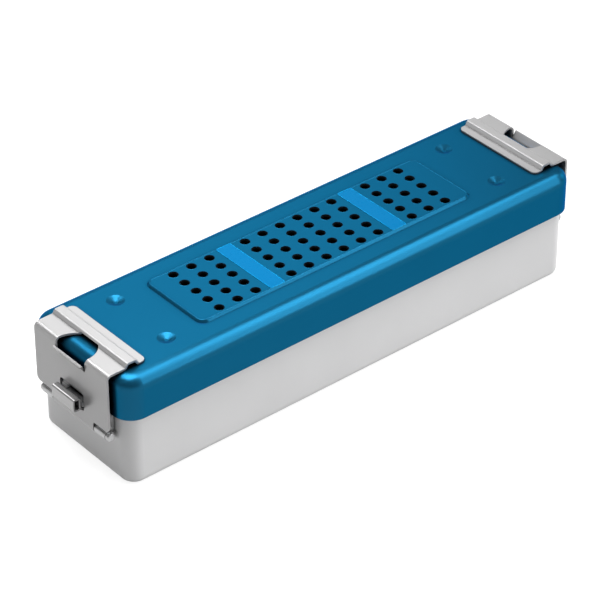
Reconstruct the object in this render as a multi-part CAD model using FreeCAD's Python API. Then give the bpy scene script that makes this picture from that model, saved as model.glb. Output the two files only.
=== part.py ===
"""Small sterilization container: a drawn aluminium tray and a perforated lid, held by two end latches.

Frame: origin at the bottom centre, +X along the length, +Y across, +Z up. Lengths are in millimetres.
"""
import FreeCAD, Part
import math
import os

from FreeCAD import Vector

# Working allowances for joining and cutting shapes
join_overlap = 0.3
cut_overrun = 1.0

# Base tray
base_length = 253.4
base_width = 64.2
base_height = 52.3
base_sheet = 1.2
base_corner_radius = 7.0
base_bottom_radius = 3.0
rim_hem_width = 2.2
rim_hem_height = 4.0
rim_hem_bevel = 0.5

# Lid shell
lid_sheet = 1.2
lid_side_gap = 1.2
lid_skirt_height = 20.5
lid_edge_radius = 6.0

# Lid gasket
gasket_height = 2.55
gasket_width = 4.2
gasket_inner_corner = 5.0
gasket_press_gap = 0.3
gasket_fit_gap = 0.05

# Perforated field of the lid
field_end_inset = 50.9
field_side_inset = 14.2
hole_columns = 14
hole_rows = 5
hole_radius = 2.1
strip_column = 3
field_margin_x = 13.2
field_margin_y = 4.3
field_corner_radius = 4.2
field_step = 1.1
field_ramp = 0.8
field_edge_round = 0.45

# Coloured strips set into the field
strip_width = 8.2
strip_edge_land = 0.2
strip_thickness = 0.55
strip_recess = 0.45
strip_corner_radius = 1.0
strip_fit_gap = 0.05

# Dimples of the lid, with the studs that carry the filter retainer
dimple_offset_x = 16.8
dimple_offset_y = 2.5
dimple_radius = 4.1
dimple_floor_radius = 0.9
dimple_depth = 1.2
dimple_boss_radius = 4.6
dimple_boss_land = 0.7
stud_radius = 1.5
stud_head_radius = 2.7
stud_head_height = 1.0
stud_drop = 2.1

# Filter and its retainer
retainer_sheet = 0.8
retainer_end_margin = 10.8
retainer_side_margin = 8.2
retainer_corner_radius = 5.0
retainer_edge_radius = 1.4
retainer_top_gap = 0.2
retainer_travel = 6.0
keyhole_gap = 0.2
keyhole_head_gap = 0.5
seat_gap = 0.1
vent_width = 14.0
vent_length = 36.0
vent_corner_radius = 3.0
vent_pitch = 21.0
vent_count = 8
filter_thickness = 0.6
filter_end_gap = 10.0
filter_side_gap = 0.8

# Hinge pin and bracket
pin_radius = 1.25
pin_drop = 11.6
pin_head_radius = 2.1
pin_head_length = 2.1
pin_head_round = 0.8
pin_head_gap = 0.05
pin_bracket_gap = 0.04
pin_latch_gap = 0.06
bracket_sheet = 1.0
bracket_inset = 3.45
bracket_top_drop = 1.1
bracket_bottom_rise = 2.7
bracket_corner_radius = 2.0
bracket_loop_gap = 0.4
knuckle_joggle = 1.6
knuckle_bend_radius = 0.3
knuckle_wrap_deg = 265.0
knuckle_gap = 0.35

# Latch
latch_sheet = 1.0
latch_width = 51.3
latch_bend_radius = 1.6
latch_wall_gap = 1.0
latch_reach = 20.9
land_gap = 0.45
land_length = 9.7
bead_rise = 1.95
bead_slope = 1.3
bead_top_length = 4.6
bead_bend_radius = 0.35
lip_gap = 0.05
lip_corner_radius = 2.6
plate_corner_radius = 2.4
foot_rise = 3.9
foot_fillet = 1.2
tongue_inset = 11.15
curl_wrap_deg = 235.0

# Finger window and its flared lip
finger_radius = 10.4
finger_inset = 2.1
finger_floor = 6.2
flare_half_width = 10.0
flare_out = 1.9
flare_rise = 3.0
flare_bend_radius = 1.2
flare_root = 2.5

# Seal loop and the slot that lets it through the latch
loop_sheet = 0.85
loop_half_width = 7.75
loop_drop = 4.7
loop_height = 6.3
loop_reach = 10.6
loop_depth = 3.9
loop_bend_radius = 0.3
loop_flange = 4.2
slot_side_gap = 0.6
slot_bottom_gap = 1.3
slot_top_gap = 0.3
slot_corner_radius = 1.5

# Rivets through the end walls of the tray
rivet_radius = 1.1
rivet_head_radius = 1.8
rivet_head_height = 1.0
rivet_head_taper = 0.5
rivet_tail_radius = 1.7
rivet_tail_height = 0.8
rivet_hole_gap = 0.05
bracket_rivet_drop = 3.0
loop_rivet_y = 4.6
loop_rivet_drop = 2.2

# Places worked out from the sizes above
base_end = base_length / 2
lid_length = base_length + 2 * (lid_side_gap + lid_sheet)
lid_width = base_width + 2 * (lid_side_gap + lid_sheet)
lid_corner_radius = base_corner_radius + lid_side_gap + lid_sheet
lid_top = base_height + gasket_press_gap + gasket_height + gasket_fit_gap + lid_sheet
lid_inner_top = lid_top - lid_sheet
lid_bottom = lid_top - lid_skirt_height
field_top = lid_top + field_step
field_length = lid_length - 2 * field_end_inset
field_width = lid_width - 2 * field_side_inset
hole_pitch_x = (field_length - 2 * field_margin_x) / (hole_columns - 1)
hole_pitch_y = (field_width - 2 * field_margin_y) / (hole_rows - 1)
strip_length = field_width - 2 * (field_ramp + strip_edge_land)
strip_x = ((hole_columns - 1) / 2 - strip_column) * hole_pitch_x
dimple_x = field_length / 2 + dimple_offset_x
dimple_y = field_width / 2 - dimple_offset_y
stud_seat = lid_top - dimple_depth - lid_sheet
retainer_top_face = stud_seat - stud_drop + retainer_sheet
retainer_bottom = retainer_top_face - retainer_sheet
retainer_length = 2 * (dimple_x + retainer_end_margin)
retainer_width = 2 * (dimple_y + retainer_side_margin)
curl_outer_radius = pin_radius + pin_latch_gap + latch_sheet
pin_x = -(base_end + latch_wall_gap + curl_outer_radius)
pin_height = lid_bottom - pin_drop
plate_outer_x = pin_x - curl_outer_radius
plate_foot = pin_height + foot_rise
tongue_half_width = latch_width / 2 - tongue_inset
land_top = lid_top + land_gap + latch_sheet
lip_top = lid_top + lip_gap + latch_sheet
loop_outer_x = -(base_end + loop_reach)
loop_bottom = lid_bottom - loop_drop
loop_top = loop_bottom + loop_height
bracket_top = lid_bottom - bracket_top_drop
bracket_bottom = pin_height + bracket_bottom_rise
bracket_half_width = latch_width / 2 - bracket_inset
bracket_window_half = loop_half_width + bracket_loop_gap
bracket_rivet_y = (bracket_window_half + bracket_half_width) / 2


def rounded_rectangle(length, width, radius, z, center_x=0.0, center_y=0.0):
    """Closed wire of a rectangle with rounded corners, flat at height z."""
    x = length / 2
    y = width / 2
    r = min(radius, 0.49 * min(length, width))
    k = r * (1 - math.sqrt(0.5))

    def at(px, py):
        return Vector(center_x + px, center_y + py, z)

    edges = []
    for sx, sy in ((1, 1), (-1, 1), (-1, -1), (1, -1)):
        start = at(sx * x, sy * (y - r))
        middle = at(sx * (x - k), sy * (y - k))
        end = at(sx * (x - r), sy * y)
        if sx * sy < 0:
            start, end = end, start
        edges.append((start, middle, end))
    parts = []
    for index, (start, middle, end) in enumerate(edges):
        parts.append(Part.Arc(start, middle, end).toShape())
        parts.append(Part.LineSegment(end, edges[(index + 1) % 4][0]).toShape())
    return Part.Wire(parts)


def rounded_block(length, width, radius, z_low, z_high, center_x=0.0, center_y=0.0):
    """Upright block with rounded vertical corners."""
    outline = rounded_rectangle(length, width, radius, z_low, center_x, center_y)
    return Part.Face(outline).extrude(Vector(0, 0, z_high - z_low))


def end_block(height, width, radius, x_low, x_high, center_z, center_y=0.0):
    """Block between two places along X, with rounded corners as seen from the container's end."""
    block = rounded_block(height, width, radius, 0, x_high - x_low)
    block.rotate(Vector(0, 0, 0), Vector(0, 1, 0), 90)
    block.translate(Vector(x_low, center_y, center_z))
    return block


def cross_block(depth, height, radius, center_x, center_z, half_width):
    """Block that runs across the container, with rounded corners as seen from its long side."""
    block = rounded_block(depth, height, radius, -half_width, half_width)
    block.rotate(Vector(0, 0, 0), Vector(1, 0, 0), 90)
    block.translate(Vector(center_x, 0, center_z))
    return block


def edges_at_height(shape, z):
    """Edges of a shape that lie flat at height z."""
    box = [(edge, edge.BoundBox) for edge in shape.Edges]
    return [edge for edge, b in box if abs(b.ZMin - z) < 1e-6 and abs(b.ZMax - z) < 1e-6]


def dome_block(length, width, corner_radius, edge_radius, z_low, z_high, round_top):
    """Rounded block whose top or bottom rim is filleted all round."""
    block = rounded_block(length, width, corner_radius, z_low, z_high)
    radius = min(edge_radius, 0.98 * corner_radius)
    return block.makeFillet(radius, edges_at_height(block, z_high if round_top else z_low))


def frustum(length, width, radius, z_low, z_high, ramp):
    """Raised pad with sloping sides: each side comes in by the ramp as it rises."""
    low = rounded_rectangle(length, width, radius, z_low)
    high = rounded_rectangle(length - 2 * ramp, width - 2 * ramp, radius - ramp, z_high)
    return Part.makeLoft([low, high], True, True)


def cylinder(radius, start, end):
    """Cylinder between two points."""
    axis = end - start
    return Part.makeCylinder(radius, axis.Length, start, axis)


def solid_of(shape):
    """The single solid of a shape, with split faces joined."""
    clean = shape.removeSplitter()
    return clean.Solids[0] if len(clean.Solids) == 1 else clean


def mirrored(shape):
    """The same piece at the other end of the container."""
    return shape.mirror(Vector(0, 0, 0), Vector(1, 0, 0))


def both_ends_and_sides(x, y):
    """The four places that mirror one place about both centre planes."""
    return [(sx * x, sy * y) for sx in (-1, 1) for sy in (-1, 1)]


def offset_polyline(points, distance):
    """Open polyline moved to its left by a distance, with mitred corners."""
    normals = []
    for (x0, z0), (x1, z1) in zip(points, points[1:]):
        run = math.hypot(x1 - x0, z1 - z0)
        normals.append((-(z1 - z0) / run, (x1 - x0) / run))
    moved = []
    for index, (x, z) in enumerate(points):
        before = normals[max(index - 1, 0)]
        after = normals[min(index, len(normals) - 1)]
        scale = distance / (1 + before[0] * after[0] + before[1] * after[1])
        moved.append((x + (before[0] + after[0]) * scale, z + (before[1] + after[1]) * scale))
    return moved


def turn_at(points, index):
    """Signed angle by which a polyline turns at one of its points, left positive."""
    (x0, z0), (x1, z1), (x2, z2) = points[index - 1:index + 2]
    before = math.atan2(z1 - z0, x1 - x0)
    after = math.atan2(z2 - z1, x2 - x1)
    return (after - before + math.pi) % (2 * math.pi) - math.pi


def rounded_polyline(points, radii):
    """Edges in the XZ plane along a polyline whose inner corners are rounded."""
    def at(p):
        return Vector(p[0], 0, p[1])

    edges = []
    last = at(points[0])
    for index in range(1, len(points) - 1):
        corner = at(points[index])
        back = (at(points[index - 1]) - corner).normalize()
        ahead = (at(points[index + 1]) - corner).normalize()
        turn = abs(turn_at(points, index))
        radius = radii[index - 1]
        reach = radius * math.tan(turn / 2)
        start = corner + back * reach
        end = corner + ahead * reach
        middle = corner + (back + ahead).normalize() * (radius / math.cos(turn / 2) - radius)
        edges.append(Part.LineSegment(last, start).toShape())
        edges.append(Part.Arc(start, middle, end).toShape())
        last = end
    edges.append(Part.LineSegment(last, at(points[-1])).toShape())
    return edges


def bent_sheet(points, bends, thickness, side, half_width):
    """Sheet metal bent along a line in the XZ plane, and as wide as asked along Y.

    bends are inside radii. side is 1 where the sheet lies left of the line, -1 where right.
    """
    other = offset_polyline(points, side * thickness)
    near_radii = []
    far_radii = []
    for index, bend in enumerate(bends, start=1):
        inside = turn_at(points, index) * side > 0
        near_radii.append(bend + thickness if inside else bend)
        far_radii.append(bend if inside else bend + thickness)
    near = rounded_polyline(points, near_radii)
    far = rounded_polyline(other, far_radii)
    caps = []
    for a, b in ((points[0], other[0]), (points[-1], other[-1])):
        caps.append(Part.LineSegment(Vector(a[0], 0, a[1]), Vector(b[0], 0, b[1])).toShape())
    outline = Part.Wire(Part.__sortEdges__(near + far + caps))
    face = Part.Face(outline)
    face.translate(Vector(0, -half_width, 0))
    return face.extrude(Vector(0, 2 * half_width, 0))


def rolled_barrel(inner_radius, outer_radius, start_deg, wrap_deg, half_width):
    """Sheet rolled about the hinge pin from a start angle, clockwise when seen from -Y."""
    middle = math.radians(start_deg - wrap_deg / 2)
    start = math.radians(start_deg)
    end = math.radians(start_deg - wrap_deg)

    def at(radius, angle):
        return Vector(pin_x + radius * math.cos(angle), -half_width, pin_height + radius * math.sin(angle))

    outer = Part.Arc(at(outer_radius, start), at(outer_radius, middle), at(outer_radius, end))
    inner = Part.Arc(at(inner_radius, end), at(inner_radius, middle), at(inner_radius, start))
    cap_end = Part.LineSegment(at(outer_radius, end), at(inner_radius, end))
    cap_start = Part.LineSegment(at(inner_radius, start), at(outer_radius, start))
    outline = Part.Wire([g.toShape() for g in (outer, cap_end, inner, cap_start)])
    return Part.Face(outline).extrude(Vector(0, 2 * half_width, 0))


def rivet_places():
    """Centres of the rivets in the left end wall: those of the bracket, then those of the loop."""
    bracket = [(side * bracket_rivet_y, bracket_top - bracket_rivet_drop) for side in (-1, 1)]
    loop = [(side * loop_rivet_y, loop_bottom - loop_rivet_drop) for side in (-1, 1)]
    return bracket, loop


def wall_drills(places, radius):
    """Cylinders that drill the left end wall and what lies on it."""
    return [
        cylinder(
            radius, Vector(-base_end - bracket_sheet - cut_overrun, y, z),
            Vector(-base_end + base_sheet + cut_overrun, y, z))
        for y, z in places
    ]


def make_base_tray():
    """Drawn tray with a radius along the floor, and a hemmed rim."""
    outer = dome_block(
        base_length, base_width, base_corner_radius, base_bottom_radius, 0, base_height, False)
    inner = dome_block(
        base_length - 2 * base_sheet, base_width - 2 * base_sheet, base_corner_radius - base_sheet,
        base_bottom_radius - base_sheet, base_sheet, base_height, False)
    hem_low = base_height - rim_hem_height
    hem = rounded_block(
        base_length - base_sheet, base_width - base_sheet, base_corner_radius - base_sheet / 2,
        hem_low, base_height)
    hem_hole = rounded_block(
        base_length - 2 * rim_hem_width, base_width - 2 * rim_hem_width,
        base_corner_radius - rim_hem_width, hem_low, base_height)
    tray = outer.cut(inner).fuse(hem.cut(hem_hole)).removeSplitter()
    tray = tray.makeChamfer(rim_hem_bevel, edges_at_height(tray, base_height))
    bracket, loop = rivet_places()
    drills = wall_drills(bracket + loop, rivet_radius + rivet_hole_gap)
    return solid_of(tray.cut(drills + [mirrored(d) for d in drills]))


def make_lid_shell():
    """Drawn lid: a deep radius round the top, the raised perforated field, and four dimples."""
    outer = dome_block(
        lid_length, lid_width, lid_corner_radius, lid_edge_radius, lid_bottom, lid_top, True)
    inner = dome_block(
        lid_length - 2 * lid_sheet, lid_width - 2 * lid_sheet, lid_corner_radius - lid_sheet,
        lid_edge_radius - lid_sheet, lid_bottom, lid_inner_top, True)
    shell = outer.cut(inner)
    shell = shell.fuse(field_pad(0.0, lid_top, field_top, field_edge_round))
    slope = math.atan2(field_step, field_ramp)
    shell = shell.cut(field_pad(lid_sheet * math.tan(slope / 2), lid_inner_top, field_top - lid_sheet, 0.0))
    shell = shell.fuse(dimple_bosses())
    cutters = dimple_cones() + lid_holes() + strip_recesses()
    return solid_of(shell.cut(cutters))


def field_pad(inset, z_low, z_high, edge_round):
    """Sloping pad of the raised field; it starts a little below, so that it joins the sheet."""
    pad = frustum(
        field_length - 2 * inset, field_width - 2 * inset, field_corner_radius, z_low, z_high, field_ramp)
    if edge_round:
        pad = pad.makeFillet(edge_round, edges_at_height(pad, z_high))
    root = rounded_block(
        field_length - 2 * inset, field_width - 2 * inset, field_corner_radius,
        z_low - join_overlap, z_low)
    return pad.fuse(root).removeSplitter()


def lid_holes():
    """Drills for the steam holes; the columns where the strips lie have none."""
    columns = [c for c in range(hole_columns) if c not in (strip_column, hole_columns - 1 - strip_column)]
    drills = []
    for column in columns:
        x = (column - (hole_columns - 1) / 2) * hole_pitch_x
        for row in range(hole_rows):
            y = (row - (hole_rows - 1) / 2) * hole_pitch_y
            low = Vector(x, y, lid_inner_top - cut_overrun)
            drills.append(cylinder(hole_radius, low, Vector(x, y, field_top + cut_overrun)))
    return drills


def dimple_cones():
    """Cones that press the four dimples into the lid."""
    return [
        Part.makeCone(
            dimple_floor_radius, dimple_radius, dimple_depth, Vector(x, y, lid_top - dimple_depth))
        for x, y in both_ends_and_sides(dimple_x, dimple_y)
    ]


def dimple_bosses():
    """The sheet that the dimples push down inside the lid, flat where the studs sit."""
    height = lid_inner_top + join_overlap - stud_seat
    return [
        Part.makeCone(stud_radius + dimple_boss_land, dimple_boss_radius, height, Vector(x, y, stud_seat))
        for x, y in both_ends_and_sides(dimple_x, dimple_y)
    ]


def strip_recesses():
    """Shallow seats of the two coloured strips."""
    return [
        rounded_block(
            strip_width + 2 * strip_fit_gap, strip_length + 2 * strip_fit_gap,
            strip_corner_radius + strip_fit_gap, field_top - strip_recess, field_top + cut_overrun,
            sx * strip_x)
        for sx in (-1, 1)
    ]


def make_strip(side):
    """Coloured marking strip, glued into its seat."""
    low = field_top - strip_recess
    return rounded_block(
        strip_width, strip_length, strip_corner_radius, low, low + strip_thickness, side * strip_x)


def make_gasket():
    """Silicone ring that follows the inside radius of the lid above the tray's rim."""
    outer = dome_block(
        lid_length - 2 * (lid_sheet + gasket_fit_gap), lid_width - 2 * (lid_sheet + gasket_fit_gap),
        lid_corner_radius - lid_sheet - gasket_fit_gap, lid_edge_radius - lid_sheet - gasket_fit_gap,
        lid_bottom, lid_inner_top - gasket_fit_gap, True)
    low = base_height + gasket_press_gap
    inset = 2 * (lid_sheet + gasket_fit_gap + gasket_width)
    hole = rounded_block(
        lid_length - inset, lid_width - inset, gasket_inner_corner, lid_bottom, lid_top)
    below = rounded_block(lid_length, lid_width, lid_corner_radius, lid_bottom - cut_overrun, low)
    return solid_of(outer.cut([hole, below]))


def make_studs():
    """Four headed studs under the dimples; the retainer's keyholes hang on their heads."""
    studs = []
    for x, y in both_ends_and_sides(dimple_x, dimple_y):
        head_top = retainer_bottom - seat_gap
        shank = cylinder(stud_radius, Vector(x, y, stud_seat), Vector(x, y, head_top))
        head = cylinder(stud_head_radius, Vector(x, y, head_top), Vector(x, y, head_top - stud_head_height))
        studs.append(solid_of(shank.fuse(head)))
    return Part.makeCompound(studs)


def keyhole(x, y):
    """Keyhole that grips a stud, and lets its head out after the retainer's travel."""
    z_low = retainer_bottom - cut_overrun
    z_high = retainer_top_face + cut_overrun
    width = 2 * (stud_radius + keyhole_gap)
    slot = rounded_block(
        retainer_travel + width, width, width / 2, z_low, z_high, x - retainer_travel / 2, y)
    entry = x - retainer_travel
    mouth = cylinder(
        stud_head_radius + keyhole_head_gap, Vector(entry, y, z_low), Vector(entry, y, z_high))
    return slot.fuse(mouth)


def make_retainer():
    """Shallow pan with vent slots that holds the filter under the perforated field."""
    outer = dome_block(
        retainer_length, retainer_width, retainer_corner_radius, retainer_edge_radius,
        retainer_bottom, lid_inner_top - retainer_top_gap, False)
    inner = rounded_block(
        retainer_length - 2 * retainer_sheet, retainer_width - 2 * retainer_sheet,
        retainer_corner_radius - retainer_sheet, retainer_top_face, lid_top)
    vents = [
        rounded_block(
            vent_width, vent_length, vent_corner_radius, retainer_bottom - cut_overrun,
            retainer_top_face + cut_overrun,
            (index - (vent_count - 1) / 2) * vent_pitch)
        for index in range(vent_count)
    ]
    keyholes = [keyhole(x, y) for x, y in both_ends_and_sides(dimple_x, dimple_y)]
    return solid_of(outer.cut([inner] + vents + keyholes))


def make_filter():
    """Filter sheet that lies in the retainer, under all the holes and clear of the studs."""
    low = retainer_top_face + seat_gap
    return rounded_block(
        2 * (dimple_x - filter_end_gap), retainer_width - 2 * (retainer_sheet + filter_side_gap),
        retainer_corner_radius / 2, low, low + filter_thickness)


def make_hinge_pin():
    """Pin through the latch's barrel and the bracket's knuckles, riveted over at both ends."""
    shank_half = bracket_half_width + pin_head_gap
    pin = cylinder(pin_radius, Vector(pin_x, -shank_half, pin_height), Vector(pin_x, shank_half, pin_height))
    for side in (-1, 1):
        seat = Vector(pin_x, side * shank_half, pin_height)
        face = Vector(pin_x, side * (shank_half + pin_head_length), pin_height)
        head = cylinder(pin_head_radius, seat, face)
        rim = [e for e in head.Edges if len(e.Vertexes) == 1 and abs(e.BoundBox.YMin - face.y) < 1e-6]
        pin = pin.fuse(head.makeFillet(pin_head_round, rim))
    return solid_of(pin)


def make_hinge_bracket():
    """Plate on the end wall, whose two straps step out and roll round the pin."""
    wall = -base_end
    face_x = wall - bracket_sheet
    outline = end_block(
        bracket_top - bracket_bottom, 2 * bracket_half_width, bracket_corner_radius, face_x, wall,
        (bracket_top + bracket_bottom) / 2)
    barrel_inner = pin_radius + pin_bracket_gap
    barrel_outer = barrel_inner + bracket_sheet
    strap_x = pin_x + barrel_inner
    path = [
        (face_x, bracket_bottom + bracket_corner_radius), (face_x, bracket_bottom),
        (strap_x, bracket_bottom - knuckle_joggle), (strap_x, pin_height)]
    knuckles = []
    start = tongue_half_width + knuckle_gap
    for side in (-1, 1):
        half = (bracket_half_width - start) / 2
        strap = bent_sheet(path, [knuckle_bend_radius] * 2, bracket_sheet, 1, half)
        barrel = rolled_barrel(barrel_inner, barrel_outer, 0, knuckle_wrap_deg, half)
        knuckle = strap.fuse(barrel)
        knuckle.translate(Vector(0, side * (bracket_half_width + start) / 2, 0))
        knuckles.append(knuckle)
    window_low = bracket_bottom - cut_overrun
    window_high = loop_bottom + loop_sheet + bracket_loop_gap
    window = Part.makeBox(
        bracket_sheet + 2 * cut_overrun, 2 * bracket_window_half, window_high - window_low,
        Vector(face_x - cut_overrun, -bracket_window_half, window_low))
    bracket, loop = rivet_places()
    plate = outline.fuse(knuckles)
    return solid_of(plate.cut([window] + wall_drills(bracket, rivet_radius + rivet_hole_gap)))


def make_seal_loop():
    """Flat eye for a plastic seal, on a leg that reaches out through the latch, folded from one strap."""
    wall = -base_end
    eye_x = loop_outer_x + loop_depth / 2
    eye_z = (loop_bottom + loop_top) / 2
    eye = cross_block(
        loop_depth, loop_height, loop_bend_radius + loop_sheet, eye_x, eye_z, loop_half_width)
    hole = cross_block(
        loop_depth - 2 * loop_sheet, loop_height - 2 * loop_sheet, loop_bend_radius, eye_x, eye_z,
        loop_half_width + cut_overrun)
    leg_top = loop_bottom + loop_sheet
    path = [(wall, loop_bottom - loop_flange), (wall, leg_top), (eye_x, leg_top)]
    leg = bent_sheet(path, [loop_bend_radius], loop_sheet, 1, loop_half_width)
    bracket, loop = rivet_places()
    return solid_of(eye.fuse(leg).cut([hole] + wall_drills(loop, rivet_radius + rivet_hole_gap)))


def make_rivets(places, sheet):
    """Rivets through a sheet and the end wall, with a tapered head outside and a flat tail inside."""
    rivets = []
    outside = -base_end - sheet
    inside = -base_end + base_sheet
    for y, z in places:
        shank = cylinder(rivet_radius, Vector(outside, y, z), Vector(inside, y, z))
        head = Part.makeCone(
            rivet_head_radius, rivet_head_radius - rivet_head_taper, rivet_head_height,
            Vector(outside, y, z), Vector(-1, 0, 0))
        tail = cylinder(rivet_tail_radius, Vector(inside, y, z), Vector(inside + rivet_tail_height, y, z))
        rivets.append(solid_of(shank.fuse([head, tail])))
    return Part.makeCompound(rivets)


def latch_profile():
    """Outer line of the latch from the pin up the plate, over the land and the bead, to the lip."""
    land_end = plate_outer_x + land_length
    bead_start = land_end + bead_slope
    bead_end = bead_start + bead_top_length
    return [
        (plate_outer_x, pin_height), (plate_outer_x, land_top), (land_end, land_top),
        (bead_start, land_top + bead_rise), (bead_end, land_top + bead_rise),
        (bead_end + bead_slope, lip_top), (plate_outer_x + latch_reach, lip_top)]


def slot_height():
    """Top of the latch's slot: the eye of the seal loop must pass through it as the latch swings."""
    round_radius = loop_bend_radius + loop_sheet
    corner_x = loop_outer_x + round_radius - pin_x
    corner_z = loop_top - round_radius - pin_height
    reach = math.hypot(corner_x, corner_z) + round_radius
    plate_inner_offset = pin_radius + pin_latch_gap
    return pin_height + math.sqrt(reach ** 2 - plate_inner_offset ** 2) + slot_top_gap


def make_latch():
    """Latch of bent stainless sheet: hinge barrel, slotted plate, land, stiffening bead and lip."""
    half = latch_width / 2
    bends = [latch_bend_radius] + [bead_bend_radius] * 4
    sheet = bent_sheet(latch_profile(), bends, latch_sheet, -1, half)
    barrel = rolled_barrel(
        pin_radius + pin_latch_gap, curl_outer_radius, 180, -curl_wrap_deg, tongue_half_width)
    latch = sheet.fuse(barrel).cut(latch_corner_cutters() + latch_openings())
    return solid_of(latch.fuse(finger_flare()))


def latch_corner_cutters():
    """What is left over beside the hinge tongue and outside the rounded corners of foot and lip."""
    half = latch_width / 2
    near = plate_outer_x - cut_overrun
    far = plate_outer_x + latch_sheet + cut_overrun
    notch_low = pin_height - 2 * foot_fillet
    notch_width = half - tongue_half_width + 2 * foot_fillet
    round_z = plate_foot + plate_corner_radius
    lip_x = plate_outer_x + latch_reach - lip_corner_radius
    lip_low = lid_top - cut_overrun
    lip_high = lip_top + cut_overrun
    cutters = []
    for side in (-1, 1):
        cutters.append(end_block(
            plate_foot - notch_low, notch_width, foot_fillet, near, far, (plate_foot + notch_low) / 2,
            side * (tongue_half_width + notch_width / 2)))
        foot_y = side * (half - plate_corner_radius)
        foot_square = Part.makeBox(
            far - near, plate_corner_radius, plate_corner_radius,
            Vector(near, min(side * half, foot_y), plate_foot))
        foot_round = cylinder(
            plate_corner_radius, Vector(near, foot_y, round_z), Vector(far, foot_y, round_z))
        cutters.append(foot_square.cut(foot_round))
        lip_y = side * (half - lip_corner_radius)
        lip_square = Part.makeBox(
            lip_corner_radius, lip_corner_radius, lip_high - lip_low,
            Vector(lip_x, min(side * half, lip_y), lip_low))
        lip_round = cylinder(lip_corner_radius, Vector(lip_x, lip_y, lip_low), Vector(lip_x, lip_y, lip_high))
        cutters.append(lip_square.cut(lip_round))
    return cutters


def latch_openings():
    """Finger window under the bead and over the bend, and the slot for the seal loop."""
    window_x = plate_outer_x + finger_inset
    floor = land_top - finger_floor
    bead_inner_top = land_top + bead_rise - latch_sheet
    window = cylinder(finger_radius, Vector(window_x, 0, floor), Vector(window_x, 0, bead_inner_top))
    slot_low = loop_bottom - slot_bottom_gap
    slot_high = slot_height()
    slot = end_block(
        slot_high - slot_low, 2 * (loop_half_width + slot_side_gap), slot_corner_radius,
        plate_outer_x - cut_overrun, plate_outer_x + latch_sheet + cut_overrun, (slot_low + slot_high) / 2)
    return [window, slot]


def finger_flare():
    """Lip under the finger window, flared outwards so that a fingertip can pull it."""
    root = land_top - finger_floor
    path = [
        (plate_outer_x, root - flare_root), (plate_outer_x, root),
        (plate_outer_x - flare_out, root + flare_rise)]
    return bent_sheet(path, [flare_bend_radius], latch_sheet, -1, flare_half_width)


def main():
    """Build each piece and write it to its own file."""
    os.makedirs("parts", exist_ok=True)
    bracket_places, loop_places = rivet_places()
    end_pieces = {
        "hinge_bracket": make_hinge_bracket(),
        "hinge_pin": make_hinge_pin(),
        "seal_loop": make_seal_loop(),
        "bracket_rivets": make_rivets(bracket_places, bracket_sheet),
        "loop_rivets": make_rivets(loop_places, loop_sheet),
        "latch": make_latch(),
    }
    pieces = {
        "base_tray": make_base_tray(),
        "lid_shell": make_lid_shell(),
        "lid_gasket": make_gasket(),
        "marking_strip_left": make_strip(-1),
        "marking_strip_right": make_strip(1),
        "retainer_studs": make_studs(),
        "filter_retainer": make_retainer(),
        "filter_sheet": make_filter(),
    }
    for name, shape in end_pieces.items():
        pieces[name + "_left"] = shape
        pieces[name + "_right"] = mirrored(shape)
    for name, shape in pieces.items():
        shape.exportStep("parts/" + name + ".step")
        box = shape.BoundBox
        print(name, "solids", len(shape.Solids), "volume", round(shape.Volume, 1), "valid", shape.isValid(),
              "box", [round(v, 2) for v in (box.XMin, box.YMin, box.ZMin, box.XMax, box.YMax, box.ZMax)])


main()
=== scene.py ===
"""Scene of the small sterilization container: finishes, fine pieces, camera, light and floor.

Lengths are in metres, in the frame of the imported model: +X along the container, +Z up.
"""
import logging
import math
from collections.abc import Sequence
from dataclasses import dataclass
from enum import Enum

import bmesh
import bpy
from mathutils import Matrix, Vector


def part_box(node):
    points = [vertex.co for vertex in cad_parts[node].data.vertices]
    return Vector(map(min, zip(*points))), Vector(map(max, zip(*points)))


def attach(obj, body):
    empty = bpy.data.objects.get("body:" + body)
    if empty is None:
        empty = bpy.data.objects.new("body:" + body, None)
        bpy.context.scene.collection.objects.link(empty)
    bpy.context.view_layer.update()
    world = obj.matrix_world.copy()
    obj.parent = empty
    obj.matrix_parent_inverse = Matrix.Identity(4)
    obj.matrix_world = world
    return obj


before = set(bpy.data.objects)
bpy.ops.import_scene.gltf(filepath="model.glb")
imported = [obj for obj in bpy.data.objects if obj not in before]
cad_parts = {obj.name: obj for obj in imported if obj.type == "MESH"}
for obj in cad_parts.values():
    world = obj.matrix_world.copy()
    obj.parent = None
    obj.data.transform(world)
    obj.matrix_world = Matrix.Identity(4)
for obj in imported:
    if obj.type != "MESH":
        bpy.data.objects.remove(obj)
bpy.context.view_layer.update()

Colour = tuple[float, float, float]
Point = tuple[float, float, float]
Section = list[tuple[float, float]]
Socket = bpy.types.NodeSocket

LOG = logging.getLogger("container")
MM = 0.001
PATTERN_LOW, PATTERN_HIGH = 0.3, 0.7
OPEN_SURFACE = 0.93
CREASE_SHADE_SAMPLES = 8


class Body(Enum):
    """The rigid body that the new pieces ride on."""

    LID = "lid"


class End(Enum):
    """The two ends of the container."""

    LEFT = "left"
    RIGHT = "right"


class Grain(Enum):
    """Direction of a surface's grain, as the scale of its pattern along X, Y and Z."""

    NONE = (1.0, 1.0, 1.0)
    ALONG_Y = (1.0, 0.03, 1.0)
    ALONG_Z = (1.0, 1.0, 0.03)


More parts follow.
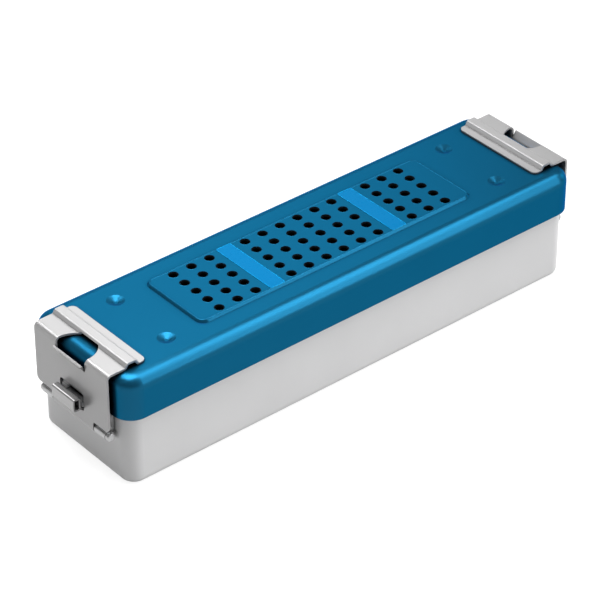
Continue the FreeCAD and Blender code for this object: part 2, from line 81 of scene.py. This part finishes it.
class Shading:
    """The node tree of one material, with short ways to add the nodes that the finishes need."""

    def __init__(self, name: str) -> None:
        """Start a material with an empty Principled shader.

        Args:
            name: the material's name.
        """
        self.material = bpy.data.materials.new(name)
        self.material.use_nodes = True
        self.tree = self.material.node_tree
        self.shader = self.tree.nodes["Principled BSDF"]
        self.coords = self.tree.nodes.new("ShaderNodeTexCoord").outputs["Object"]

    def link(self, source: Socket, target: Socket) -> None:
        """Join two sockets."""
        self.tree.links.new(source, target)

    def stretched(self, grain: Grain) -> Socket:
        """Coordinates stretched along a grain.

        Args:
            grain: the direction of the grain.

        Returns:
            The socket with the stretched coordinates.
        """
        mapping = self.tree.nodes.new("ShaderNodeMapping")
        mapping.inputs["Scale"].default_value = grain.value
        self.link(self.coords, mapping.inputs["Vector"])
        return mapping.outputs["Vector"]

    def noise(self, vector: Socket, scale: float, detail: float = 3.0) -> Socket:
        """A noise pattern.

        Args:
            vector: the coordinates it is laid on.
            scale: its waves per metre.
            detail: its octaves.

        Returns:
            The socket with the pattern, from 0 to 1.
        """
        node = self.tree.nodes.new("ShaderNodeTexNoise")
        node.inputs["Scale"].default_value = scale
        node.inputs["Detail"].default_value = detail
        self.link(vector, node.inputs["Vector"])
        return node.outputs["Fac"]

    def between(self, pattern: Socket, low: float, high: float) -> Socket:
        """Spread the middle of a pattern over a range.

        Args:
            pattern: the pattern, from 0 to 1.
            low: the value where the pattern is at PATTERN_LOW.
            high: the value where the pattern is at PATTERN_HIGH.

        Returns:
            The socket with the new values.
        """
        node = self.tree.nodes.new("ShaderNodeMapRange")
        node.inputs["From Min"].default_value = PATTERN_LOW
        node.inputs["From Max"].default_value = PATTERN_HIGH
        node.inputs["To Min"].default_value = low
        node.inputs["To Max"].default_value = high
        self.link(pattern, node.inputs["Value"])
        return node.outputs["Result"]

    def two_tones(self, pattern: Socket, first: Colour, second: Colour) -> Socket:
        """Colour that runs from one tone to another with a pattern.

        Args:
            pattern: the pattern, from 0 to 1.
            first: the tone where the pattern is at PATTERN_LOW.
            second: the tone where the pattern is at PATTERN_HIGH.

        Returns:
            The socket with the colour.
        """
        node = self.tree.nodes.new("ShaderNodeValToRGB")
        ramp = node.color_ramp
        ramp.elements[0].position, ramp.elements[1].position = PATTERN_LOW, PATTERN_HIGH
        ramp.elements[0].color = (*first, 1)
        ramp.elements[1].color = (*second, 1)
        self.link(pattern, node.inputs["Fac"])
        return node.outputs["Color"]

    def painted_crease_shade(self, colour: Socket, reach: float, full: float, floor: float) -> Socket:
        """Paint shade into a colour in creases and narrow gaps, darker where the surface is more
        enclosed.

        Args:
            colour: the colour on the open surface.
            reach: how far from a crease the darkening starts, in metres.
            full: the openness at which the darkening is full, where 1 is an open surface.
            floor: the share of the colour that is left deep in a crease.

        Returns:
            The socket with the new colour.
        """
        # Ambient occlusion scales the colour down: painted shade in creases and gaps.
        openness = self.tree.nodes.new("ShaderNodeAmbientOcclusion")
        openness.samples = CREASE_SHADE_SAMPLES
        openness.inputs["Distance"].default_value = reach
        share = self.tree.nodes.new("ShaderNodeMapRange")
        share.inputs["From Min"].default_value = full
        share.inputs["From Max"].default_value = OPEN_SURFACE
        share.inputs["To Min"].default_value = floor
        share.inputs["To Max"].default_value = 1.0
        self.link(openness.outputs["AO"], share.inputs["Value"])
        product = self.tree.nodes.new("ShaderNodeVectorMath")
        product.operation = "SCALE"
        self.link(colour, product.inputs[0])
        self.link(share.outputs["Result"], product.inputs["Scale"])
        return product.outputs["Vector"]

    def bump(self, height: Socket, depth: float) -> None:
        """Lay a relief on the surface.

        Args:
            height: the pattern of the relief, from 0 to 1.
            depth: its depth in metres.
        """
        node = self.tree.nodes.new("ShaderNodeBump")
        node.inputs["Distance"].default_value = depth
        self.link(height, node.inputs["Height"])
        self.link(node.outputs["Normal"], self.shader.inputs["Normal"])

    def set(self, **values: float | tuple) -> None:
        """Set sockets of the shader; an underscore in a name stands for a space."""
        for name, value in values.items():
            self.shader.inputs[name.replace("_", " ")].default_value = value


def scaled(colour: Colour, factor: float) -> Colour:
    """A colour made lighter or darker."""
    return tuple(min(c * factor, 1.0) for c in colour)


@dataclass(frozen=True)
class MetalFinish:
    """Metal with a grain, soft clouds in its tone, a fine blasted tooth and painted shade in its
    creases.
    """

    name: str
    colour: Colour
    metallic: float
    roughness: float
    grain: Grain = Grain.NONE
    grain_scale: float = 900.0
    cloud: float = 0.03
    cloud_scale: float = 28.0
    cloud_detail: float = 2.0
    roughness_spread: float = 0.04
    tooth_depth: float = 0.004 * MM
    specular: float = 0.5
    specular_tint: Colour = (1.0, 1.0, 1.0)
    # Reach, openness and remaining share of the painted shade in creases and gaps.
    crease_shade_reach: float = 2.0 * MM
    crease_shade_full: float = 0.45
    crease_shade_floor: float = 0.15

    def build(self) -> bpy.types.Material:
        """Make the material.

        Returns:
            The new material.
        """
        s = Shading(self.name)
        clouds = s.noise(s.coords, self.cloud_scale, self.cloud_detail)
        tooth = s.noise(s.stretched(self.grain), self.grain_scale)
        dark, light = scaled(self.colour, 1 - self.cloud), scaled(self.colour, 1 + self.cloud)
        tone = s.two_tones(clouds, dark, light)
        # Painted shade: the tone darkens in creases and gaps.
        tone = s.painted_crease_shade(tone, self.crease_shade_reach, self.crease_shade_full, self.crease_shade_floor)
        s.link(tone, s.shader.inputs["Base Color"])
        smooth = self.roughness - self.roughness_spread
        rough = self.roughness + self.roughness_spread
        s.link(s.between(tooth, smooth, rough), s.shader.inputs["Roughness"])
        s.bump(tooth, self.tooth_depth)
        s.set(Metallic=self.metallic, Specular_IOR_Level=self.specular,
              Specular_Tint=(*self.specular_tint, 1))
        return s.material


@dataclass(frozen=True)
class ClothFinish:
    """Woven filter cloth: two crossed sets of threads, each going over and under, with painted
    shade in the hollows and a painted highlight on the crowns.
    """

    name: str
    colour: Colour
    thread_scale: float = 130.0
    thread_waver: float = 0.4
    thread_depth: float = 0.06 * MM
    hollow_shade: float = 0.6
    crown_highlight: float = 1.3
    roughness: float = 0.95
    specular: float = 0.1

    def build(self) -> bpy.types.Material:
        """Make the material.

        Returns:
            The new material.
        """
        s = Shading(self.name)
        waves = []
        for direction in ("X", "Y"):
            wave = s.tree.nodes.new("ShaderNodeTexWave")
            wave.bands_direction = direction
            wave.inputs["Scale"].default_value = self.thread_scale
            wave.inputs["Distortion"].default_value = self.thread_waver
            s.link(s.coords, wave.inputs["Vector"])
            waves.append(wave.outputs["Fac"])
        weave = s.tree.nodes.new("ShaderNodeMath")
        weave.operation = "MULTIPLY"
        s.link(waves[0], weave.inputs[0])
        s.link(waves[1], weave.inputs[1])
        height = weave.outputs["Value"]
        # The colour follows the weave's height: painted shade in the hollows, painted highlight on
        # the crowns.
        dark, light = scaled(self.colour, self.hollow_shade), scaled(self.colour, self.crown_highlight)
        tone = s.two_tones(height, dark, light)
        s.link(tone, s.shader.inputs["Base Color"])
        s.bump(height, self.thread_depth)
        s.set(Roughness=self.roughness, Specular_IOR_Level=self.specular)
        return s.material


@dataclass(frozen=True)
class RubberFinish:
    """Matt silicone rubber with a dusty sheen."""

    name: str
    colour: Colour
    dark: float = 0.93
    light: float = 1.05
    smooth: float = 0.5
    rough: float = 0.62
    cloud_scale: float = 60.0
    tooth_scale: float = 2200.0
    tooth_depth: float = 0.006 * MM
    sheen: float = 0.15
    specular: float = 0.4

    def build(self) -> bpy.types.Material:
        """Make the material.

        Returns:
            The new material.
        """
        s = Shading(self.name)
        clouds = s.noise(s.coords, self.cloud_scale)
        tone = s.two_tones(clouds, scaled(self.colour, self.dark), scaled(self.colour, self.light))
        s.link(tone, s.shader.inputs["Base Color"])
        s.link(s.between(clouds, self.smooth, self.rough), s.shader.inputs["Roughness"])
        s.bump(s.noise(s.coords, self.tooth_scale), self.tooth_depth)
        s.set(Sheen_Weight=self.sheen, Specular_IOR_Level=self.specular)
        return s.material


# The lid's blue goes fully black in gaps up to 4 mm deep: painted shade.
LID_BLUE = MetalFinish(
    "lid_anodised", (0.0085, 0.099, 0.19), 0.66, 0.3, grain_scale=1600.0, cloud=0.02,
    roughness_spread=0.02, tooth_depth=0.0012 * MM, specular=0.0, specular_tint=(0.0, 0.5, 1.0),
    crease_shade_reach=4.0 * MM, crease_shade_floor=0.0)
STRIP_BLUE = MetalFinish(
    "strip_lacquer", (0.0012, 0.114, 0.268), 0.05, 0.3, cloud=0.015, tooth_depth=0.001 * MM,
    specular=0.03, specular_tint=(0.0, 0.5, 1.0))
# The strip's blue made about twice as light for its raised edge: painted highlight.
BORDER_HIGHLIGHT_BLUE = MetalFinish(
    "strip_edge_highlight", (0.004, 0.23, 0.5), 0.05, 0.3, cloud=0.01, tooth_depth=0.001 * MM,
    specular=0.03, specular_tint=(0.0, 0.5, 1.0))
# Near-black sleeve inside each steam hole, without reflection: painted shade in place of the lid's
# own hole wall.
HOLE_SHADE = MetalFinish(
    "hole_shade", (0.004, 0.005, 0.006), 0.0, 0.8, cloud=0.2, cloud_scale=400.0, specular=0.0)
TRAY_SATIN = MetalFinish(
    "tray_satin", (0.78, 0.78, 0.785), 0.08, 0.42, grain=Grain.ALONG_Z, grain_scale=700.0,
    cloud=0.02, tooth_depth=0.003 * MM, specular=0.3)
# The latch steel darkens in creases within 1.3 mm: painted shade.
LATCH_STEEL = MetalFinish(
    "latch_blasted", (0.35, 0.348, 0.35), 0.38, 0.3, grain=Grain.ALONG_Y, grain_scale=1100.0,
    cloud=0.025, roughness_spread=0.015, tooth_depth=0.0012 * MM, crease_shade_reach=1.3 * MM,
    crease_shade_full=0.72)
HINGE_STEEL = MetalFinish(
    "hinge_steel", (0.58, 0.58, 0.585), 0.35, 0.3, grain=Grain.ALONG_Y, grain_scale=1500.0,
    tooth_depth=0.003 * MM)
LOOP_STEEL = MetalFinish(
    "loop_steel", (0.38, 0.378, 0.38), 0.6, 0.22, grain=Grain.ALONG_Y, grain_scale=1300.0,
    tooth_depth=0.003 * MM)
RETAINER_DARK = MetalFinish(
    "retainer_anodised", (0.03, 0.034, 0.04), 0.3, 0.4, cloud=0.04, tooth_depth=0.003 * MM)
FILTER_CLOTH = ClothFinish("filter_cloth_woven", (0.006, 0.006, 0.007))
GASKET_SILICONE = RubberFinish("gasket_silicone", (0.7, 0.7, 0.69))


@dataclass(frozen=True)
class SoftEdge:
    """Broken edges of a sheet metal piece: a small round along every sharp edge."""

    width: float = 0.12 * MM
    segments: int = 2
    angle_deg: float = 40.0
    weld_distance: float = 0.001 * MM

    def apply(self, piece: bpy.types.Object) -> None:
        """Add the modifiers that round the piece's edges.

        Args:
            piece: the piece; its mesh stays as it is.
        """
        weld = piece.modifiers.new("weld", "WELD")
        weld.merge_threshold = self.weld_distance
        bevel = piece.modifiers.new("soft_edge", "BEVEL")
        bevel.width = self.width
        bevel.segments = self.segments
        bevel.limit_method = "ANGLE"
        bevel.angle_limit = math.radians(self.angle_deg)
        piece.modifiers.new("normals", "WEIGHTED_NORMAL")


def dress(node: str, material: bpy.types.Material, edge: SoftEdge | None = None) -> None:
    """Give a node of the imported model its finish.

    Args:
        node: the node's name.
        material: its material.
        edge: the rounding of its edges, or None where the solid has it.
    """
    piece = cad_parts[node]
    piece.data.materials.clear()
    piece.data.materials.append(material)
    if edge:
        edge.apply(piece)
    LOG.info("%s: %s", node, material.name)


def skin(bm: bmesh.types.BMesh, rings: list[list[Point]]) -> None:
    """Lay faces between closed rings of points.

    Args:
        bm: the mesh that takes the points and faces.
        rings: the rings, all with the same number of points.
    """
    corners = [[bm.verts.new(point) for point in ring] for ring in rings]
    count = len(rings[0])
    for a, b in zip(corners, corners[1:]):
        for i in range(count):
            j = (i + 1) % count
            bm.faces.new((a[i], a[j], b[j], b[i]))


def new_piece(name: str, bm: bmesh.types.BMesh, material: bpy.types.Material, body: Body) -> None:
    """Turn a mesh into a piece that rides on a body.

    Args:
        name: the piece's name.
        bm: its mesh, which is freed.
        material: its material.
        body: the body that carries it.
    """
    mesh = bpy.data.meshes.new(name)
    bmesh.ops.recalc_face_normals(bm, faces=bm.faces)
    bm.to_mesh(mesh)
    bm.free()
    mesh.shade_smooth()
    mesh.materials.append(material)
    piece = bpy.data.objects.new(name, mesh)
    bpy.context.scene.collection.objects.link(piece)
    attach(piece, body.value)
    LOG.info("%s: %s", name, material.name)


@dataclass
class Tray:
    """The drawn tray."""

    finish: MetalFinish = TRAY_SATIN

    def build(self) -> None:
        """Dress the tray, whose solid has all its rounded edges."""
        dress("base_tray", self.finish.build())


@dataclass
class Lid:
    """The lid with its perforated field, strips, seal and studs."""

    body: Body = Body.LID
    hole_columns: int = 14
    hole_rows: int = 5
    strip_column: int = 3
    hole_pitch_x: float = 10.0 * MM
    hole_pitch_y: float = 8.0 * MM
    hole_radius: float = 2.1 * MM
    field_top: float = 57.5 * MM
    rim_width: float = 0.22 * MM
    rim_rise: float = 0.05 * MM
    rim_steps: int = 32
    wall_skin: float = 0.03 * MM
    wall_depth: float = 1.15 * MM
    wall_flare: float = 0.05 * MM
    cut_width: float = 0.27 * MM
    sunk: float = 0.02 * MM
    border_width: float = 0.28 * MM
    border_rise: float = 0.06 * MM
    border_skirt: float = 0.05 * MM
    strip_radius: float = 1.0 * MM
    field_length: float = 156.4 * MM
    field_width: float = 40.6 * MM
    field_radius: float = 4.2 * MM
    edge_inset: float = 0.62 * MM
    edge_width: float = 0.85 * MM
    edge_rise: float = 0.15 * MM
    edge_skirt: float = 0.25 * MM
    edge_sunk: float = 0.03 * MM
    corner_steps: int = 10

    def hole_places(self) -> list[tuple[float, float]]:
        """Centres of the steam holes; the columns under the strips have none.

        Returns:
            The x and y of each hole.
        """
        under_strips = (self.strip_column, self.hole_columns - 1 - self.strip_column)
        first_x = -(self.hole_columns - 1) / 2 * self.hole_pitch_x
        first_y = -(self.hole_rows - 1) / 2 * self.hole_pitch_y
        return [
            (first_x + column * self.hole_pitch_x, first_y + row * self.hole_pitch_y)
            for column in range(self.hole_columns) if column not in under_strips
            for row in range(self.hole_rows)
        ]

    def rim_section(self) -> Section:
        """Section of the rolled rim round a hole.

        Returns:
            The radius and height of each point, from the inside to the outside.
        """
        r, w = self.hole_radius + self.cut_width, self.rim_width
        h, top = self.rim_rise, self.field_top
        return [(r, top + 0.6 * h), (r + 0.4 * w, top + h), (r + 0.8 * w, top + 0.5 * h),
                (r + w, top - self.sunk)]

    def wall_section(self) -> Section:
        """Section of a hole's wall and of its cut edge.

        Returns:
            The radius and height of each point, from the bottom to the rim.
        """
        r, h, top = self.hole_radius, self.rim_rise, self.field_top
        inner = r - self.wall_skin
        return [(inner, top - self.wall_depth), (inner, top - self.sunk),
                (r + self.wall_flare, top + 0.3 * h), (r + self.cut_width, top + 0.6 * h)]

    def turned(self, name: str, section: Section, material: bpy.types.Material) -> None:
        """Turn a section about the axis of each steam hole.

        Args:
            name: the piece's name.
            section: the radius and height of each point.
            material: its finish.
        """
        angles = [2 * math.pi * step / self.rim_steps for step in range(self.rim_steps)]
        bm = bmesh.new()
        for x, y in self.hole_places():
            rings = [
                [(x + r * math.cos(a), y + r * math.sin(a), z) for a in angles]
                for r, z in section
            ]
            skin(bm, rings)
        new_piece(name, bm, material, self.body)

    def framed(self, name: str, low: Sequence[float], high: Sequence[float], radius: float,
               section: Section, material: bpy.types.Material) -> None:
        """Run a section round a rectangle with rounded corners.

        Args:
            name: the piece's name.
            low: the smallest x and y of the rectangle.
            high: its largest x and y.
            radius: its corner radius.
            section: how far each point lies inside the rectangle, and its height.
            material: the piece's finish.
        """
        cx, cy = (low[0] + high[0]) / 2, (low[1] + high[1]) / 2
        hx, hy = (high[0] - low[0]) / 2, (high[1] - low[1]) / 2
        turn = 90 / (self.corner_steps - 1)
        rings = []
        for inset, z in section:
            ring = []
            for sx, sy, start in ((1, 1, 0), (-1, 1, 90), (-1, -1, 180), (1, -1, 270)):
                for step in range(self.corner_steps):
                    angle = math.radians(start + turn * step)
                    x = cx + sx * (hx - radius) + (radius - inset) * math.cos(angle)
                    y = cy + sy * (hy - radius) + (radius - inset) * math.sin(angle)
                    ring.append((x, y, z))
            rings.append(ring)
        bm = bmesh.new()
        skin(bm, rings)
        new_piece(name, bm, material, self.body)

    def strip_border(self, end: End, material: bpy.types.Material) -> None:
        """Lay a thin raised border along the edge of a strip, in a lighter blue that paints a
        highlight on it.

        Args:
            end: the end of the lid that the strip is nearer to.
            material: the border's finish.
        """
        low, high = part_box("marking_strip_" + end.value)
        w, h, top = self.border_width, self.border_rise, high[2]
        section = [(0.0, top - self.border_skirt), (0.25 * w, top + h), (0.75 * w, top + h),
                   (w, top - self.sunk)]
        self.framed("strip_border_" + end.value, low, high, self.strip_radius, section, material)

    def field_edge(self, material: bpy.types.Material) -> None:
        """Roll the upper edge of the raised field.

        Args:
            material: the finish of the lid.
        """
        hx, hy = self.field_length / 2, self.field_width / 2
        start, w, h, top = self.edge_inset, self.edge_width, self.edge_rise, self.field_top
        section = [
            (start, top - self.edge_skirt), (start + 0.1 * w, top - self.edge_skirt / 5),
            (start + 0.25 * w, top + 0.6 * h), (start + 0.5 * w, top + h),
            (start + 0.75 * w, top + 0.6 * h), (start + w, top - self.edge_sunk)]
        self.framed("field_edge_roll", (-hx, -hy), (hx, hy), self.field_radius, section, material)

    def build(self, hinge: bpy.types.Material) -> None:
        """Dress the lid and what rides on it.

        Args:
            hinge: the finish of the hinges, which the studs share.
        """
        blue = LID_BLUE.build()
        dress("lid_shell", blue)
        self.field_edge(blue)
        self.turned("steam_hole_rims", self.rim_section(), blue)
        # The hole walls are a near-black sleeve: painted shade.
        self.turned("steam_hole_walls", self.wall_section(), HOLE_SHADE.build())
        strip, border = STRIP_BLUE.build(), BORDER_HIGHLIGHT_BLUE.build()
        for end in End:
            dress("marking_strip_" + end.value, strip)
            self.strip_border(end, border)
        dress("lid_gasket", GASKET_SILICONE.build())
        dress("retainer_studs", hinge, SoftEdge())


@dataclass
class FilterPack:
    """The filter sheet in its sliding retainer."""

    retainer_edge: SoftEdge = SoftEdge(0.1 * MM)

    def build(self) -> None:
        """Dress the filter and its retainer."""
        dress("filter_retainer", RETAINER_DARK.build(), self.retainer_edge)
        dress("filter_sheet", FILTER_CLOTH.build())


@dataclass
class EndHardware:
    """Latch, hinge and seal loop of one end."""

    end: End
    latch_edge: SoftEdge = SoftEdge(0.15 * MM)
    loop_edge: SoftEdge = SoftEdge(0.22 * MM, 3)
    bracket_edge: SoftEdge = SoftEdge()

    def build(self, latch: bpy.types.Material, hinge: bpy.types.Material,
              loop: bpy.types.Material) -> None:
        """Dress the hardware.

        Args:
            latch: the finish of the latch.
            hinge: the finish of the bracket, the pin and the rivets.
            loop: the finish of the seal loop.
        """
        side = "_" + self.end.value
        dress("latch" + side, latch, self.latch_edge)
        dress("seal_loop" + side, loop, self.loop_edge)
        dress("hinge_bracket" + side, hinge, self.bracket_edge)
        for node in ("hinge_pin", "bracket_rivets", "loop_rivets"):
            dress(node + side, hinge)


@dataclass(frozen=True)
class Lamp:
    """One soft rectangular lamp."""

    name: str
    place: Point
    aim: Point
    size: tuple[float, float]
    power: float
    turn_deg: float = 0.0

    def build(self) -> None:
        """Hang the lamp."""
        data = bpy.data.lights.new(self.name, "AREA")
        data.shape = "RECTANGLE"
        data.size, data.size_y = self.size
        data.energy = self.power
        lamp = bpy.data.objects.new(self.name, data)
        bpy.context.scene.collection.objects.link(lamp)
        lamp.location = self.place
        face = (Vector(self.aim) - Vector(self.place)).to_track_quat("-Z", "Y").to_matrix()
        turn = Matrix.Rotation(math.radians(self.turn_deg), 3, "Z")
        lamp.rotation_euler = (face @ turn).to_euler()


@dataclass(frozen=True)
class Studio:
    """Camera, lamps, world and floor; the steam holes in the photograph fix the camera."""

    azimuth_deg: float = -39.825
    elevation_deg: float = 35.163
    roll_deg: float = -0.026
    place: Point = (-0.6829, -0.8108, 0.7701)
    focal_mm: float = 173.27
    sensor_mm: float = 36.0
    clip: tuple[float, float] = (0.01, 50.0)
    floor_size: float = 40.0
    floor_tone: float = 0.25
    floor_glow: float = 0.88
    sky: float = 0.08
    wall_top_deg: float = 6.5
    ceiling_deg: float = 13.0
    lamps: tuple[Lamp, ...] = (
        Lamp("key", (-0.1, 0.03, 0.36), (-0.1, 0.02, 0.05), (0.24, 0.26), 1.95),
        Lamp("top", (0.46, -0.2, 0.8), (0.05, 0.0, 0.05), (0.5, 0.42), 4.4),
        Lamp("side", (1.3, -0.2, 0.42), (0.0, 0.0, 0.05), (0.5, 0.4), 2.0),
        Lamp("front", (1.42, -1.84, 1.28), (0.0, 0.0, 0.04), (0.64, 2.3), 29.5, -18.5),
        Lamp("rim", (-0.24, 1.0, 1.25), (0.0, 0.0, 0.04), (0.7, 0.26), 4.6),
        Lamp("back", (0.7, 1.05, 0.97), (0.0, 0.0, 0.04), (0.65, 0.55), 1.9),
    )

    def camera(self) -> None:
        """Place the camera at the photograph's viewing angle."""
        a, e = math.radians(self.azimuth_deg), math.radians(self.elevation_deg)
        back = Vector((math.sin(a) * math.cos(e), -math.cos(a) * math.cos(e), math.sin(e)))
        right = Vector((0, 0, 1)).cross(back).normalized()
        up = back.cross(right)
        roll = Matrix.Rotation(math.radians(self.roll_deg), 3, "Z")
        turn = Matrix((right, up, back)).transposed() @ roll
        data = bpy.data.cameras.new("camera")
        data.lens, data.sensor_width = self.focal_mm, self.sensor_mm
        data.clip_start, data.clip_end = self.clip
        camera = bpy.data.objects.new("camera", data)
        bpy.context.scene.collection.objects.link(camera)
        camera.matrix_world = Matrix.Translation(self.place) @ turn.to_4x4()
        bpy.context.scene.camera = camera

    def seen_directly(self, tree: bpy.types.NodeTree) -> Socket:
        """1 for rays that show the background: the camera's, reflections and those through glass.

        Args:
            tree: the node tree to add the nodes to.

        Returns:
            The socket with the value.
        """
        path = tree.nodes.new("ShaderNodeLightPath")
        total = path.outputs["Is Camera Ray"]
        for name in ("Is Glossy Ray", "Is Transmission Ray"):
            node = tree.nodes.new("ShaderNodeMath")
            node.operation = "MAXIMUM"
            tree.links.new(total, node.inputs[0])
            tree.links.new(path.outputs[name], node.inputs[1])
            total = node.outputs["Value"]
        return total

    def world(self) -> None:
        """Surround the floor with a white wall that fades into a dim ceiling."""
        world = bpy.data.worlds.new("studio")
        bpy.context.scene.world = world
        world.use_nodes = True
        tree = world.node_tree
        coords = tree.nodes.new("ShaderNodeTexCoord")
        parts = tree.nodes.new("ShaderNodeSeparateXYZ")
        fade = tree.nodes.new("ShaderNodeMapRange")
        fade.interpolation_type = "SMOOTHSTEP"
        fade.inputs["From Min"].default_value = math.sin(math.radians(self.wall_top_deg))
        fade.inputs["From Max"].default_value = math.sin(math.radians(self.ceiling_deg))
        fade.inputs["To Min"].default_value = 1.0
        fade.inputs["To Max"].default_value = self.sky
        backdrop = tree.nodes["Background"]
        backdrop.inputs["Color"].default_value = (1, 1, 1, 1)
        tree.links.new(coords.outputs["Generated"], parts.inputs["Vector"])
        tree.links.new(parts.outputs["Z"], fade.inputs["Value"])
        tree.links.new(fade.outputs["Result"], backdrop.inputs["Strength"])

    def floor(self) -> None:
        """Pale floor that keeps the container's shadow."""
        mesh = bpy.data.meshes.new("floor")
        s = self.floor_size / 2
        mesh.from_pydata([(-s, -s, 0), (s, -s, 0), (s, s, 0), (-s, s, 0)], [], [(0, 1, 2, 3)])
        floor = bpy.data.objects.new("floor", mesh)
        bpy.context.scene.collection.objects.link(floor)
        material = bpy.data.materials.new("floor")
        material.use_nodes = True
        tree = material.node_tree
        shader = tree.nodes["Principled BSDF"]
        shader.inputs["Base Color"].default_value = (*[self.floor_tone] * 3, 1)
        shader.inputs["Roughness"].default_value = 1.0
        shader.inputs["Specular IOR Level"].default_value = 0.0
        shader.inputs["Emission Color"].default_value = (1, 1, 1, 1)
        glow = tree.nodes.new("ShaderNodeMath")
        glow.operation = "MULTIPLY"
        glow.inputs[1].default_value = self.floor_glow
        tree.links.new(self.seen_directly(tree), glow.inputs[0])
        tree.links.new(glow.outputs["Value"], shader.inputs["Emission Strength"])
        mesh.materials.append(material)

    def build(self) -> None:
        """Make the whole studio."""
        bpy.context.scene.view_settings.view_transform = "Standard"
        self.camera()
        for lamp in self.lamps:
            lamp.build()
        self.world()
        self.floor()


def main() -> None:
    """Build the sub-assemblies in order, then the studio."""
    logging.basicConfig(level=logging.INFO, format="%(name)s: %(message)s")
    latch, hinge, loop = LATCH_STEEL.build(), HINGE_STEEL.build(), LOOP_STEEL.build()
    Tray().build()
    Lid().build(hinge)
    FilterPack().build()
    for end in End:
        EndHardware(end).build(latch, hinge, loop)
    Studio().build()


if __name__ == "__main__":
    main()
